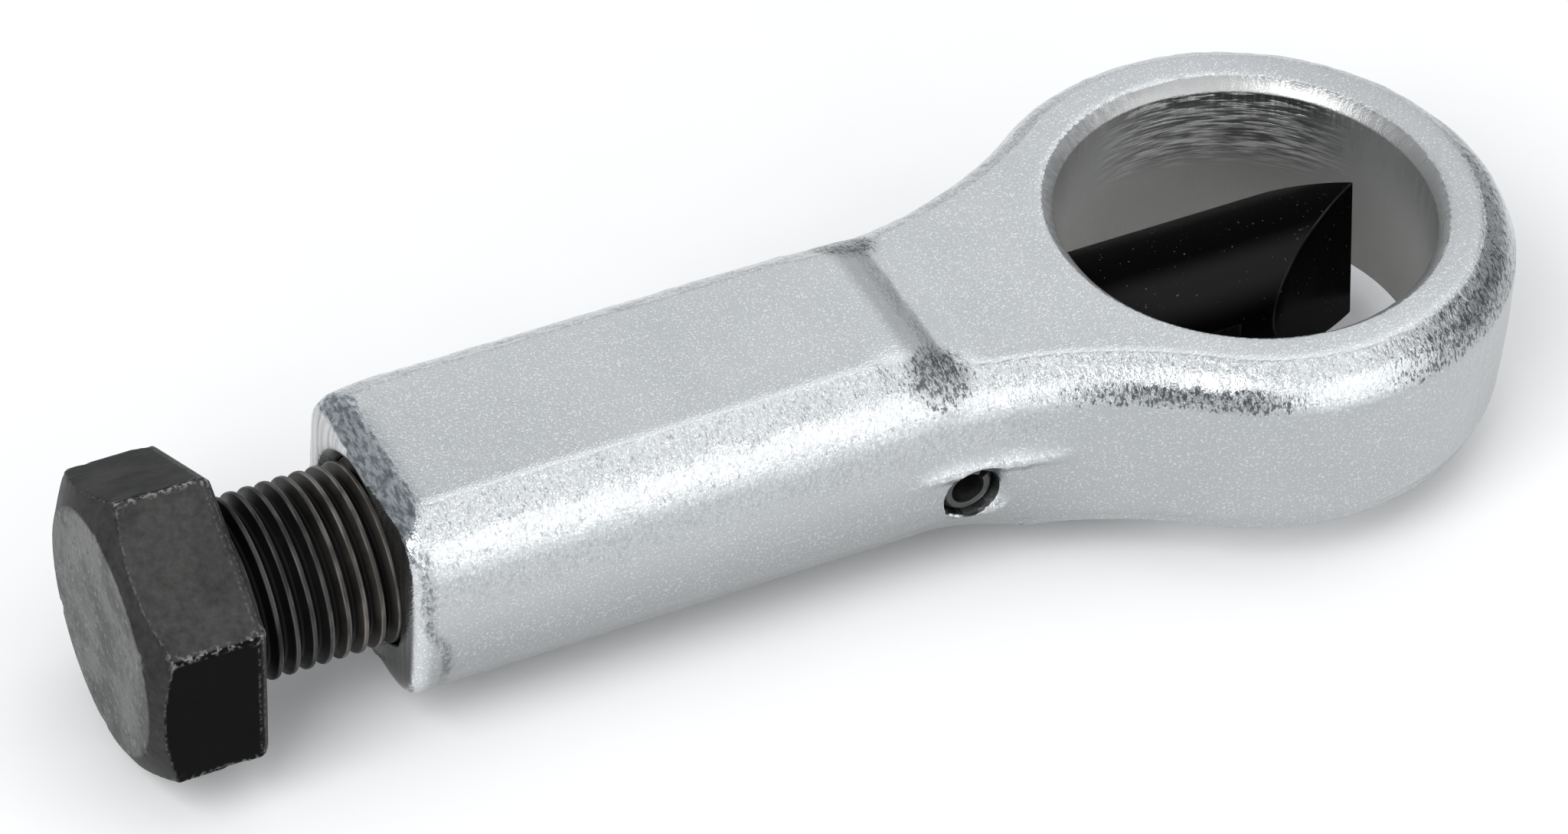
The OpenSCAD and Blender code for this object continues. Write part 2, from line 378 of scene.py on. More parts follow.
def cut_by(place, normal):
    """How far a spot was turned in the eye, milled on the end, or drilled; what is left over is forged."""
    across = math.hypot(place.x, place.y)
    inwards = -(normal.x * place.x + normal.y * place.y) / max(across, 1.0)
    in_eye = across < EYE_R + EYE_CHAMFER + 0.25 and abs(place.z) <= RING_TOP
    turned = smooth_step(0.2, 0.5, inwards) if in_eye else 0.0
    milled = smooth_step(0.75, 0.95, -normal.x) if place.x < END_X + 0.6 else 0.0
    from_screw = math.hypot(place.y, place.z)
    facing_screw = -(normal.y * place.y + normal.z * place.z) / max(from_screw, 1.0)
    drilled = 0.0
    if from_screw < BORE_R + MOUTH_CHAMFER + 0.2 and place.x < BORE_FRONT_X:
        drilled = smooth_step(0.2, 0.5, facing_screw)
    from_pin = math.hypot(place.x - PIN_X, place.z - PIN_Z)
    facing_pin = -(normal.x * (place.x - PIN_X) + normal.z * (place.z - PIN_Z)) / max(from_pin, 1.0)
    if from_pin < PIN_HOLE_R + 0.1:
        drilled = max(drilled, PIN_HOLE_SHADE * smooth_step(0.3, 0.6, facing_pin))
    return turned, milled, drilled


# %% Body: where the skin is rough, and where it gets painted shade
FLAT_GRAIN, UNDERSIDE_GRAIN, EDGE_GRAIN, SIDE_GRAIN = 0.14, 0.22, 0.85, 0.3
RING_EDGE_R, NECK_X = 18.5, -30.0


def forged_grain(place, normal):
    """How dimpled the forged skin is: most on the rounded upper edges, least on the flats."""
    tilt = tilt_of(normal)
    flat = FLAT_GRAIN if normal.z > 0 else UNDERSIDE_GRAIN
    upper_edge = window(tilt, 10, 24, 36, 46)
    lower_edge = EDGE_GRAIN * window(tilt, 20, 30, 66, 88)
    side = SIDE_GRAIN + 0.25 * smooth_step(1.0, 5.0, place.z) * smooth_step(-22, -30, place.x)
    return max(flat, upper_edge, lower_edge, side * window(tilt, 60, 80, 100, 120))


def pits_and_shade(place, normal):
    """How much of the skin is pitted black: at the ends of the step, and round the near edge of the ring. The
    band on the ring's right rounding is painted shade, a dark reflection of the dim room.
    """
    tilt = tilt_of(normal)
    corner = (Vector((place.x, abs(place.y), place.z)) - STEP_CORNER).length
    if math.hypot(place.x, place.y) < RING_EDGE_R or place.x < NECK_X:
        return smooth_step(3.8, 1.8, corner)
    turn = math.degrees(math.atan2(place.y, place.x))
    low_band = 0.9 * window(turn, -160, -137, -118, -100) * window(tilt, 46, 60, 74, 88)
    low_band *= smooth_step(2.0, 4.0, place.z)
    # painted shade: the band on the ring's right rounding is a dark reflection of the dim room
    right = window(turn, -95, -70, -45, -20) * window(tilt, 16, 40, 70, 90)
    fading = 0.42 * window(turn, -50, -35, -5, 12) * window(tilt, 6, 16, 45, 60)
    return max(low_band, right, fading)


# %% Body: ridge, crease and draft
FLASH_HEIGHT, FLASH_Z = 0.7, 0.25
CREASE_NEAR, CREASE_SHIFT, CREASE_DEPTH, CREASE_WIDTH = 1.3, 1.5, 0.12, 0.45
DRAFT = 0.05


def on_side(normal):
    """1 where the skin is upright, and 0 where it faces up or down."""
    return smooth_step(0.8, 0.5, abs(normal.z))


def flash_ridge(place, normal):
    """Height of the trimmed flash beside the pin: a lip that falls off on both sides."""
    along = smooth_step(-38.2, -36.4, place.x) * smooth_step(-22.5, -27.0, place.x)
    if along == 0.0 or abs(normal.y) < 0.5:
        return 0.0
    above = place.z - FLASH_Z - 0.25 * noise.noise(Vector((place.x * 0.5, 3.1, 0)))
    lip = math.exp(-above / 0.9) if above >= 0 else math.exp(-(above / 0.8) ** 2)
    return FLASH_HEIGHT * along * lip * (0.8 + 0.35 * noise.noise(Vector((place.x * 0.9, 7.7, 0))))


def crease_at(place):
    """How far behind the struck end its crease runs: closer to it on the upper half."""
    return CREASE_NEAR + CREASE_SHIFT * smooth_step(1, -2, place.z)


def end_wear(place, normal):
    """Depth of the crease on the sides behind the struck end."""
    behind = place.x - END_X + 0.3 * noise.noise(Vector((0, place.z * 0.6, 4.4)))
    return CREASE_DEPTH * math.exp(-((behind - crease_at(place)) / CREASE_WIDTH) ** 2) * on_side(normal)


def draft(place, normal):
    """How far the lower half of the sides leans in, so that the forging comes out of its die."""
    return DRAFT * max(0.0, -place.z) * on_side(normal)


# %% Body: dent the skin
BROAD_DENT, BROAD_SCALE = 0.16, 0.24
CLOSE_DENT, CLOSE_SCALE, CLOSE_SHIFT = 0.15, 0.95, Vector((31, 7, 3))
moves = []
for vert in bm.verts:
    place, normal = vert.co / MM, vert.normal
    turned, milled, drilled = cut_by(place, normal)
    forged = max(0.0, 1 - turned - milled - drilled)
    broad = noise.noise(place * BROAD_SCALE) - 1
    close = noise.noise(place * CLOSE_SCALE + CLOSE_SHIFT) - 1
    depth = forged_grain(place, normal) * (BROAD_DENT * broad + CLOSE_DENT * close) * 0.5
    depth += flash_ridge(place, normal) - end_wear(place, normal) - draft(place, normal)
    moves.append(normal * depth * forged * MM)
for vert, move in zip(bm.verts, moves):
    vert.co += move
forged_body.data = mesh_from(bm, "forged_body")
print("deepest dent", round(max(move.length for move in moves) / MM, 2), "mm")

# %% [markdown]
# ## The cutters
# On the real part the eye is turned, the mouth of the thread is countersunk and the pin hole is drilled after
# forging, so their rims are crisp where everything else is soft. The same order works here: each cutter is
# an outline spun about its axis, and a Boolean takes it out of the dented body. Each one is a hair larger
# than the hole that the model already has, so that it trims the whole wall.

# %% Cutting helpers
def turned_form(outline, steps):
    """A closed form about the Z axis, spun from radii and heights that start and end on the axis."""
    bm = bmesh.new()
    corners = [bm.verts.new((radius * MM, 0, height * MM)) for radius, height in outline]
    for first, second in zip(corners, corners[1:]):
        bm.edges.new((first, second))
    bmesh.ops.spin(bm, geom=bm.verts[:] + bm.edges[:], cent=(0, 0, 0), axis=(0, 0, 1), angle=2 * math.pi,
                   steps=steps, use_merge=True)
    bmesh.ops.remove_doubles(bm, verts=bm.verts, dist=1e-6)
    bmesh.ops.recalc_face_normals(bm, faces=bm.faces)
    return bm


def cut_with(piece, bm, operation):
    """Cuts a piece with a closed form, which is then let go."""
    tool = put("tool", mesh_from(bm, "tool"))
    cut = piece.modifiers.new("cut", "BOOLEAN")
    cut.operation = operation
    cut.solver = "MANIFOLD"
    cut.object = tool
    apply_modifiers(piece)
    bpy.data.objects.remove(tool)


# %% Body: turn the eye
TRIM, OVER = 0.05, 1.0
RIM_WOBBLE, WOBBLE_SCALE = 0.07, 0.35
rim_z = RING_TOP - EYE_CHAMFER
eye_r = EYE_R + TRIM
far_r, far_z = EYE_R + EYE_CHAMFER + OVER + TRIM, RING_TOP + OVER
bm = turned_form([(0, -far_z), (far_r, -far_z), (eye_r, -rim_z), (eye_r, -rim_z / 3),
                  (eye_r, rim_z / 3), (eye_r, rim_z), (far_r, far_z), (0, far_z)], steps=256)
for vert in bm.verts:
    if abs(vert.co.z) > rim_z * MM * 1.01:
        wobble = RIM_WOBBLE * noise.noise(vert.co / MM * WOBBLE_SCALE)
        vert.co.x *= 1 + wobble / far_r
        vert.co.y *= 1 + wobble / far_r
cut_with(forged_body, bm, "DIFFERENCE")
print("eye turned,", len(forged_body.data.polygons), "faces")

# %% Body: countersink the mouth
MOUTH_DEPTH = 6
far_r = BORE_R + MOUTH_CHAMFER + OVER + TRIM
bm = turned_form([(0, -OVER), (far_r, -OVER), (BORE_R + TRIM, MOUTH_CHAMFER), (BORE_R + TRIM, MOUTH_DEPTH),
                  (0, MOUTH_DEPTH)], steps=128)
bmesh.ops.rotate(bm, verts=bm.verts, cent=(0, 0, 0), matrix=Matrix.Rotation(math.radians(90), 3, "Y"))
bmesh.ops.translate(bm, verts=bm.verts, vec=(END_X * MM, 0, 0))
cut_with(forged_body, bm, "DIFFERENCE")
print("mouth countersunk,", len(forged_body.data.polygons), "faces")

# %% Body: drill for the pin
PIN_WALL_Y = 12.2
far_r, hole_r = PIN_HOLE_R + PIN_MOUTH + OVER + TRIM, PIN_HOLE_R + TRIM
bm = turned_form([(0, -PIN_WALL_Y - OVER), (far_r, -PIN_WALL_Y - OVER), (hole_r, -PIN_WALL_Y + PIN_MOUTH),
                  (hole_r, PIN_WALL_Y - PIN_MOUTH), (far_r, PIN_WALL_Y + OVER), (0, PIN_WALL_Y + OVER)],
                 steps=72)
bmesh.ops.rotate(bm, verts=bm.verts, cent=(0, 0, 0), matrix=Matrix.Rotation(math.radians(90), 3, "X"))
bmesh.ops.translate(bm, verts=bm.verts, vec=(PIN_X * MM, 0, PIN_Z * MM))
cut_with(forged_body, bm, "DIFFERENCE")
print("pin hole drilled,", len(forged_body.data.polygons), "faces")

# %% Body: what the finish needs to know
WORN_AND_SHADED_LENGTH = 6
RAMP_SHADE_X = (-37.0, -35.5, -33.3, -32.7)
bm = bmesh.new()
bm.from_mesh(forged_body.data)
bm.normal_update()
skin = {name: [] for name in ("milled", "grain", "pits_and_shade", "worn_and_shaded", "creased", "side", "ramp")}
for vert in bm.verts:
    place, normal = vert.co / MM, vert.normal
    turned, milled, drilled = cut_by(place, normal)
    forged = max(0.0, 1 - turned - milled - drilled)
    behind = place.x - END_X
    skin["milled"].append(milled)
    skin["grain"].append(forged_grain(place, normal) * forged)
    skin["pits_and_shade"].append(pits_and_shade(place, normal) * forged)
    # worn and shaded: the end's upper edge, which faces up and back, is scraped and painted darker
    skin["worn_and_shaded"].append(smooth_step(0.10, 0.35, -normal.x) * smooth_step(0.1, 0.4, normal.z) * forged
                        if behind < WORN_AND_SHADED_LENGTH else 0.0)
    skin["creased"].append(window(behind - crease_at(place), -0.8, -0.1, 0.1, 0.8) * forged
                           * window(place.z, -8, -5, 8, 9.5) if abs(normal.y) > 0.3 else 0.0)
    skin["side"].append(smooth_step(0.35, 0.05, normal.z) * smooth_step(0.6, 1.9, behind) * forged)
    skin["ramp"].append(window(place.x, *RAMP_SHADE_X) * smooth_step(0.80, 0.96, normal.z))
cuts = {name: [] for name in ("turned", "countersunk", "drilled")}
for face in bm.faces:
    turned, _, drilled = cut_by(face.calc_center_median() / MM, face.normal)
    cuts["turned"].append(turned)
    cuts["countersunk"].append(turned * smooth_step(0.25, 0.5, abs(face.normal.z)))
    cuts["drilled"].append(drilled)
print("body", len(bm.faces), "faces, open edges", open_edges(bm))
forged_body.data = mesh_from(bm, "forged_body")
for name, values in skin.items():
    store(forged_body.data, name, values)
for name, values in cuts.items():
    store(forged_body.data, name, values, "FACE")
shade_smooth(forged_body.data)
forged_body.data.set_sharp_from_angle(angle=math.radians(38))
print("forged share", round(sum(1 for g in skin["grain"] if g > 0) / len(skin["grain"]), 2))

# %% [markdown]
# ## The zinc finish
# Zinc plate is a bluish pale metal. Under it the blasted skin sparkles: its glints are painted as fine light
# dots everywhere on a bright metal, with short flecks across the rounded edges, where the skin is dimpled
# most.
# The eye shows rings from turning, with painted highlight streaks on them, a painted dark reflection under its
# chamfer and painted shade towards its lower edge, and its chamfer shows ticks from the cutter's chatter. The
# end face shows fine lines from milling and painted shade towards its bottom, its upper edge is worn bluish
# and painted darker, the ramp of the step is painted darker, and dirt sits in the pits. Painted shade also
# darkens the sides towards the bottom, the crease behind the end, the hole walls and a band on the ring's
# right rounding, and the ring darkens towards its right end. One colour is carried through all the cells
# below, and each of them blends one more thing in.

# %% Zinc plate: patterns
zinc, tree, shader = new_finish("zinc_plated_forging", metallic=1.0)
here = places(tree)
along = wire(tree, "SeparateXYZ", "X", Vector=here)
height = wire(tree, "SeparateXYZ", "Z", Vector=here)
sparkle = speckle(tree, here, 5200, detail=1)
clouds = speckle(tree, here, 120, detail=4)
wrinkles = speckle(tree, places(tree, (1500, 800, 800)), 1.0, detail=2, roughness=0.6, distortion=0.6)
flecks = speckle(tree, places(tree, (3400, 1700, 1700)), 1.0, detail=3, roughness=0.6, distortion=0.3)
pits = speckle(tree, places(tree, (3800, 1800, 1800)), 1.0, detail=2, roughness=0.7)
scrapes = speckle(tree, places(tree, (2800, 900, 2800)), 1.0, detail=3, roughness=0.6)
rings = speckle(tree, places(tree, (330, 330, 4300)), 1.0, detail=2, roughness=0.6)
ticks = speckle(tree, places(tree, (1500, 1500, 160)), 1.0, detail=3, roughness=0.6)
tool_lines = speckle(tree, places(tree, (100, 1700, 60)), 1.0, detail=3)
print("zinc patterns", len(tree.nodes), "nodes")

# %% Zinc plate: forged skin
ZINC_GREY, ZINC_PALE, PAINTED_GLINT = (0.60, 0.625, 0.64), (0.675, 0.695, 0.705), (0.95, 0.96, 0.96)
RIGHT_END_DARK, RAMP_SHADE = (0.35, 0.36, 0.37), (0.30, 0.305, 0.31)
DIRT, FLECK = (0.20, 0.205, 0.21), (0.30, 0.31, 0.32)
grain = kept(tree, "grain")
plate = blend(tree, clouds, ZINC_GREY, ZINC_PALE)
# painted glints: fine light dots stand in for the glints of the blasted skin's facets
plate = blend(tree, times(tree, between(tree, sparkle, 0.56, 0.68), 0.8), plate, PAINTED_GLINT)
# the plate darkens towards the ring's right end
plate = blend(tree, between(tree, along, 0.002, 0.021, 0.0, 0.3), plate, RIGHT_END_DARK)
# painted shade: the step's ramp is painted darker, as the dim reflection that it shows
plate = blend(tree, times(tree, kept(tree, "ramp"), 0.58), plate, RAMP_SHADE)
dirt = times(tree, between(tree, pits, 0.57, 0.68), between(tree, grain, 0.25, 1.0))
plate = blend(tree, times(tree, dirt, 0.6), plate, DIRT)
dimples = times(tree, between(tree, flecks, 0.48, 0.60), between(tree, grain, 0.25, 0.5))
plate = blend(tree, times(tree, dimples, 0.27), plate, FLECK)
print("with forged skin", len(tree.nodes), "nodes")

# %% Zinc plate: pits, painted shade and sides
PIT_FILM_AND_SHADE, PIT_STROKE, SIDE_SHADE = (0.10, 0.105, 0.11), (0.13, 0.135, 0.14), (0.03, 0.03, 0.03)
black_skin_and_shade = kept(tree, "pits_and_shade")
# pits and painted shade: the pitted patches and the band on the ring's right rounding darken smoothly
plate = blend(tree, times(tree, black_skin_and_shade, 0.38), plate, PIT_FILM_AND_SHADE)
strokes = between(tree, sums(tree, "MULTIPLY_ADD", black_skin_and_shade, 0.12, pits), 0.57, 0.70)
strokes = times(tree, strokes, between(tree, black_skin_and_shade, 0.0, 0.5))
plate = blend(tree, strokes, plate, PIT_STROKE)
on_shank = between(tree, along, -0.018, -0.034)
fall = times(tree, on_shank, between(tree, height, 0.007, -0.010, 0.0, 0.38))
shade = sums(tree, "ADD", fall, sums(tree, "MULTIPLY_ADD", on_shank, -0.12, 0.33))
plate = blend(tree, times(tree, shade, kept(tree, "side")), plate, SIDE_SHADE)
print("with pits and sides", len(tree.nodes), "nodes")

# %% Zinc plate: worn and shaded end
WORN_PALE, WORN_BLUE_SHADE, CREASE_SHADE = (0.64, 0.68, 0.71), (0.24, 0.265, 0.29), (0.12, 0.125, 0.13)
worn_and_shaded = kept(tree, "worn_and_shaded")
# wear and painted shade: scraped bluish, and painted darker as the dim reflection this edge shows
bluish = blend(tree, between(tree, scrapes, 0.36, 0.64), WORN_PALE, WORN_BLUE_SHADE)
ragged = sums(tree, "MULTIPLY_ADD", sums(tree, "SUBTRACT", clouds, 0.5), 1.6, worn_and_shaded)
ragged = sums(tree, "MULTIPLY_ADD", sums(tree, "SUBTRACT", flecks, 0.5), 1.6, ragged)
ragged = times(tree, between(tree, ragged, 0.2, 0.8), between(tree, worn_and_shaded, 0.0, 0.15))
plate = blend(tree, ragged, plate, bluish)
# painted shade along the crease behind the struck end
creased = times(tree, kept(tree, "creased"), between(tree, flecks, 0.40, 0.62, 0.25, 0.85))
plate = blend(tree, creased, plate, CREASE_SHADE)
print("with worn end", len(tree.nodes), "nodes")

# %% Zinc plate: turned eye
BORE_SHADED, BORE_LIT = (0.44, 0.43, 0.41), (0.50, 0.50, 0.50)
BORE_GROOVE_AND_SHADE, BORE_HIGHLIGHT = (0.08, 0.08, 0.08), (0.95, 0.95, 0.94)
CHAMFER_DULL, CHAMFER_PALE = (0.42, 0.425, 0.425), (0.52, 0.525, 0.53)
turned, countersunk = kept(tree, "turned"), kept(tree, "countersunk")
middle = times(tree, between(tree, along, -0.008, 0.003), between(tree, along, 0.0155, 0.0115))
upper = times(tree, between(tree, height, -0.001, 0.003), middle)
# painted highlights: bright streaks along the turning rings on the upper middle of the bore
streaks = times(tree, between(tree, rings, 0.50, 0.64), upper)
grooves = times(tree, between(tree, rings, 0.50, 0.38), times(tree, upper, 0.7))
# painted dark reflection: a dark band just under the chamfer, drawn in the same dark as the groove marks
dark_reflection = times(tree, times(tree, between(tree, height, 0.0052, 0.0072), middle), 0.8)
# painted shade: the bore is darker towards its lower edge and lighter towards its top
bored = blend(tree, between(tree, height, -0.006, 0.006), BORE_SHADED, BORE_LIT)
bored = blend(tree, sums(tree, "MAXIMUM", grooves, dark_reflection), bored, BORE_GROOVE_AND_SHADE)
plate = blend(tree, turned, plate, blend(tree, streaks, bored, BORE_HIGHLIGHT))
on_left = between(tree, along, 0.002, -0.009, 0.12, 1.0)
chatter = times(tree, between(tree, ticks, 0.62, 0.38), on_left)
plate = blend(tree, countersunk, plate, blend(tree, chatter, CHAMFER_DULL, CHAMFER_PALE))
print("with turned eye", len(tree.nodes), "nodes")

# %% Zinc plate: milled end and holes
FACE_DARK, FACE_PALE, FACE_SHADE_LOW = (0.34, 0.345, 0.35), (0.60, 0.605, 0.61), (0.10, 0.095, 0.09)
HOLE_SHADE = (0.10, 0.10, 0.10)
milled = kept(tree, "milled")
faced = blend(tree, between(tree, tool_lines, 0.35, 0.65), FACE_DARK, FACE_PALE)
# painted shade: the end face darkens towards its bottom
faced = blend(tree, between(tree, height, 0.002, -0.006, 0.0, 0.85), faced, FACE_SHADE_LOW)
plate = blend(tree, milled, plate, faced)
# painted shade: the walls of the screw's bore and of the pin hole are painted near black
plate = blend(tree, kept(tree, "drilled"), plate, HOLE_SHADE)
tree.links.new(plate, shader.inputs["Base Color"])
print("with end and holes", len(tree.nodes), "nodes")

# %% Zinc plate: gloss and relief
gloss = between(tree, clouds, 0.3, 0.7, 0.21, 0.27)
tree.links.new(sums(tree, "MULTIPLY_ADD", turned, 0.2, gloss), shader.inputs["Roughness"])
skin_height = sums(tree, "MULTIPLY_ADD", wrinkles, 0.9, times(tree, flecks, 0.7))
forged_height = sums(tree, "MULTIPLY_ADD", skin_height, grain, times(tree, sparkle, 0.26))
in_bore = sums(tree, "SUBTRACT", turned, countersunk)
ring_height = times(tree, times(tree, streaks, in_bore), 0.12)
tick_height = times(tree, times(tree, ticks, countersunk), 0.14)
line_height = times(tree, times(tree, tool_lines, milled), 0.2)
cut_height = sums(tree, "ADD", ring_height, sums(tree, "ADD", tick_height, line_height))
relief(tree, shader, sums(tree, "ADD", forged_height, cut_height), distance=0.0001)
forged_body.data.materials.clear()
forged_body.data.materials.append(zinc)
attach(forged_body, "frame")
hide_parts("body")
print("zinc plate", len(tree.nodes), "nodes")

# %% [markdown]
# ## The spring pin
# A slotted spring pin is a strip of spring steel rolled into a tube that doesn't quite close. It is pressed
# into its hole and keeps the chisel from falling out. One flat section, spun about the pin's axis and
# stopped short of a full turn, gives the tube and its slit together.

# %% Spring pin
PIN_R, PIN_WALL, PIN_HALF = 2.49, 1.0, 11.0
PIN_SLIT, PIN_SLIT_TURN = 1.0, math.radians(43)
PIN_TAPER, PIN_TIP_R, PIN_EDGE = 0.6, 2.05, 0.1
bm = bmesh.new()
half_gap = math.asin(PIN_SLIT / 2 / PIN_R)
section = [bm.verts.new((radius * MM, along * MM, 0)) for radius, along in (
    (PIN_R - PIN_WALL, -PIN_HALF), (PIN_TIP_R, -PIN_HALF), (PIN_R, PIN_TAPER - PIN_HALF),
    (PIN_R, PIN_HALF - PIN_TAPER), (PIN_TIP_R, PIN_HALF), (PIN_R - PIN_WALL, PIN_HALF))]
bm.faces.new(section)
bmesh.ops.bevel(bm, geom=bm.verts[:], offset=PIN_EDGE * MM, offset_type="OFFSET", affect="VERTICES",
                segments=3, profile=0.5, material=-1)
slit_turn = Matrix.Rotation(-half_gap - PIN_SLIT_TURN, 3, "Y")
bmesh.ops.rotate(bm, verts=bm.verts, cent=(0, 0, 0), matrix=slit_turn)
bmesh.ops.spin(bm, geom=bm.verts[:] + bm.edges[:] + bm.faces[:], cent=(0, 0, 0), axis=(0, 1, 0),
               angle=-(2 * math.pi - 2 * half_gap), steps=56, use_merge=False)
bmesh.ops.remove_doubles(bm, verts=bm.verts, dist=1e-7)
bmesh.ops.recalc_face_normals(bm, faces=bm.faces)
bmesh.ops.translate(bm, verts=bm.verts, vec=(PIN_X * MM, 0, PIN_Z * MM))
print("spring pin", len(bm.faces), "faces, open edges", open_edges(bm))
spring_pin = put("spring_pin", mesh_from(bm, "spring_pin"))
shade_smooth(spring_pin.data)
spring_pin.data.set_sharp_from_angle(angle=math.radians(40))

# %% Spring steel
spring_steel, tree, shader = new_finish("spring_steel", metallic=0.9)
here = places(tree)
drawn = speckle(tree, places(tree, (1400, 90, 1400)), 1.0, detail=3)
smudge = speckle(tree, here, 700, detail=4)
phosphate = blend(tree, smudge, (0.035, 0.035, 0.036), (0.13, 0.13, 0.128))
tree.links.new(phosphate, shader.inputs["Base Color"])
tree.links.new(between(tree, smudge, 0.3, 0.7, 0.36, 0.55), shader.inputs["Roughness"])
relief(tree, shader, drawn, distance=0.00002)
spring_pin.data.materials.append(spring_steel)
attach(spring_pin, "frame")
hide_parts("roll_pin")
print("spring steel", len(tree.nodes), "nodes")

# %% [markdown]
# ## The chisel
# The chisel is a round bar of tool steel, ground from both sides to a wedge and milled flat underneath,
# where the pin runs. It is made as in the workshop: a bar, two slanting cuts that meet in the cutting edge,
# and a slot across its underside. Its edges are stoned, which is a small bevel that is marked as stoned,
# its upper flanks are marked for a painted sheen, a lighter band where light falls, and the bar is rolled as
# far as the pin lets it.

# %% Chisel
CHISEL_R, CHISEL_REAR, EDGE_X = 6.8, -45.59, 11.4
WEDGE_HALF = math.radians(30)
SLOT_Z, SLOT_REAR, SLOT_FRONT = 0.6, -38.8, -3.7
ROLL_GAP = 0.97
CHISEL_ROLL = -math.asin(ROLL_GAP / CHISEL_R)
REAR_CHAMFER, STONED = 0.8, 0.14

bar_front = EDGE_X + OVER
bm = bmesh.new()
bmesh.ops.create_cone(bm, cap_ends=True, segments=180, radius1=CHISEL_R * MM, radius2=CHISEL_R * MM,
                      depth=(bar_front - CHISEL_REAR) * MM, matrix=Matrix.Rotation(math.radians(90), 4, "Y"))
bmesh.ops.translate(bm, verts=bm.verts, vec=((bar_front + CHISEL_REAR) / 2 * MM, 0, 0))
for side in (-1, 1):
    ground = bmesh.ops.bisect_plane(
        bm, geom=bm.verts[:] + bm.edges[:] + bm.faces[:], plane_co=(EDGE_X * MM, 0, 0),
        plane_no=(math.sin(WEDGE_HALF), side * math.cos(WEDGE_HALF), 0), clear_outer=True)
    bmesh.ops.contextual_create(bm, geom=[g for g in ground["geom_cut"] if isinstance(g, bmesh.types.BMEdge)])
rear_rim = [e for e in bm.edges if all(v.co.x < (CHISEL_REAR + 0.01) * MM for v in e.verts)]
bmesh.ops.bevel(bm, geom=rear_rim, offset=REAR_CHAMFER * MM, offset_type="OFFSET", affect="EDGES", segments=1,
                profile=0.5, material=-1)
bmesh.ops.recalc_face_normals(bm, faces=bm.faces)
print("chisel bar", len(bm.faces), "faces, open edges", open_edges(bm))
wedge_chisel = put("wedge_chisel", mesh_from(bm, "wedge_chisel"))

# %% Chisel: slot and stoned edges
SLOT_WIDTH, SLOT_DEPTH = 20, 10
SHARP_ANGLE = math.radians(25)
bm = bmesh.new()
bmesh.ops.create_cube(bm, size=1.0)
slot_length, slot_middle = SLOT_FRONT - SLOT_REAR, (SLOT_REAR + SLOT_FRONT) / 2
bmesh.ops.scale(bm, verts=bm.verts, vec=(slot_length * MM, SLOT_WIDTH * MM, SLOT_DEPTH * MM))
bmesh.ops.translate(bm, verts=bm.verts, vec=(slot_middle * MM, 0, (SLOT_Z - SLOT_DEPTH / 2) * MM))
cut_with(wedge_chisel, bm, "DIFFERENCE")
bm = bmesh.new()
bm.from_mesh(wedge_chisel.data)
bmesh.ops.remove_doubles(bm, verts=bm.verts, dist=1e-6)
bmesh.ops.dissolve_limit(bm, angle_limit=math.radians(0.5), verts=bm.verts, edges=bm.edges)
rubbed = bm.faces.layers.float.new("stoned")
painted_sheen = bm.faces.layers.float.new("painted_sheen")
ground = bm.faces.layers.float.new("ground")
sharp = [e for e in bm.edges if e.calc_face_angle(0.0) > SHARP_ANGLE]
stoned = bmesh.ops.bevel(bm, geom=sharp, offset=STONED * MM, offset_type="OFFSET", affect="EDGES", segments=2,
                         profile=0.5, material=-1, clamp_overlap=True)
for face in stoned["faces"]:
    face[rubbed] = 1.0
bmesh.ops.rotate(bm, verts=bm.verts, cent=(0, 0, 0), matrix=Matrix.Rotation(CHISEL_ROLL, 3, "X"))
bm.normal_update()
for face in bm.faces:
    tilt = math.degrees(math.atan2(abs(face.normal.y), face.normal.z))
    on_bar = smooth_step(0.3, 0.1, abs(face.normal.x))
    # painted sheen: flanks at this tilt are painted lighter, as the soft highlight band along the bar
    face[painted_sheen] = window(tilt, 14, 34, 46, 72) * on_bar
    face[ground] = smooth_step(0.3, 0.45, face.normal.x)
print("chisel", len(bm.faces), "faces, open edges", open_edges(bm))
wedge_chisel.data = mesh_from(bm, "wedge_chisel")
shade_smooth(wedge_chisel.data)
wedge_chisel.data.set_sharp_from_angle(angle=math.radians(12))

# %% Black tool steel
tool_steel, tree, shader = new_finish("black_tool_steel", metallic=0.0)
shader.inputs["Specular IOR Level"].default_value = 0.01
here = places(tree)
haze = speckle(tree, here, 260, detail=4)
dust = between(tree, speckle(tree, here, 3200, detail=1), 0.74, 0.78)
fine_lines = speckle(tree, places(tree, (120, 1900, 1900)), 1.0, detail=2)
steel = blend(tree, haze, (0.0006, 0.0006, 0.0006), (0.0016, 0.0016, 0.0016))
# painted sheen on the upper flanks
steel = blend(tree, kept(tree, "painted_sheen"), steel, (0.013, 0.013, 0.0128))
rub = times(tree, kept(tree, "stoned"), between(tree, haze, 0.35, 0.65, 0.2, 0.8))
steel = blend(tree, rub, steel, (0.030, 0.029, 0.028))
steel = blend(tree, times(tree, dust, 0.5), steel, (0.12, 0.12, 0.12))
tree.links.new(steel, shader.inputs["Base Color"])
dull = between(tree, haze, 0.3, 0.7, 0.36, 0.44)
tree.links.new(sums(tree, "MULTIPLY_ADD", kept(tree, "ground"), -0.24, dull), shader.inputs["Roughness"])
relief(tree, shader, fine_lines, distance=0.000004)
wedge_chisel.data.materials.append(tool_steel)
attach(wedge_chisel, "chisel")
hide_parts("chisel")
print("black tool steel", len(tree.nodes), "nodes")

# %% [markdown]
# ## The head of the pressure screw
# A hexagon head is a piece of hexagon bar with its front turned to a cone, which leaves the curved corners
# on its faces, and with its rear edge rounded. It is made here in the same way: a six-sided bar with a bevel
# round its rear, cut down to a turned blank by a Boolean.
# Wrenches have dented its corners, so its edges are eased unevenly.

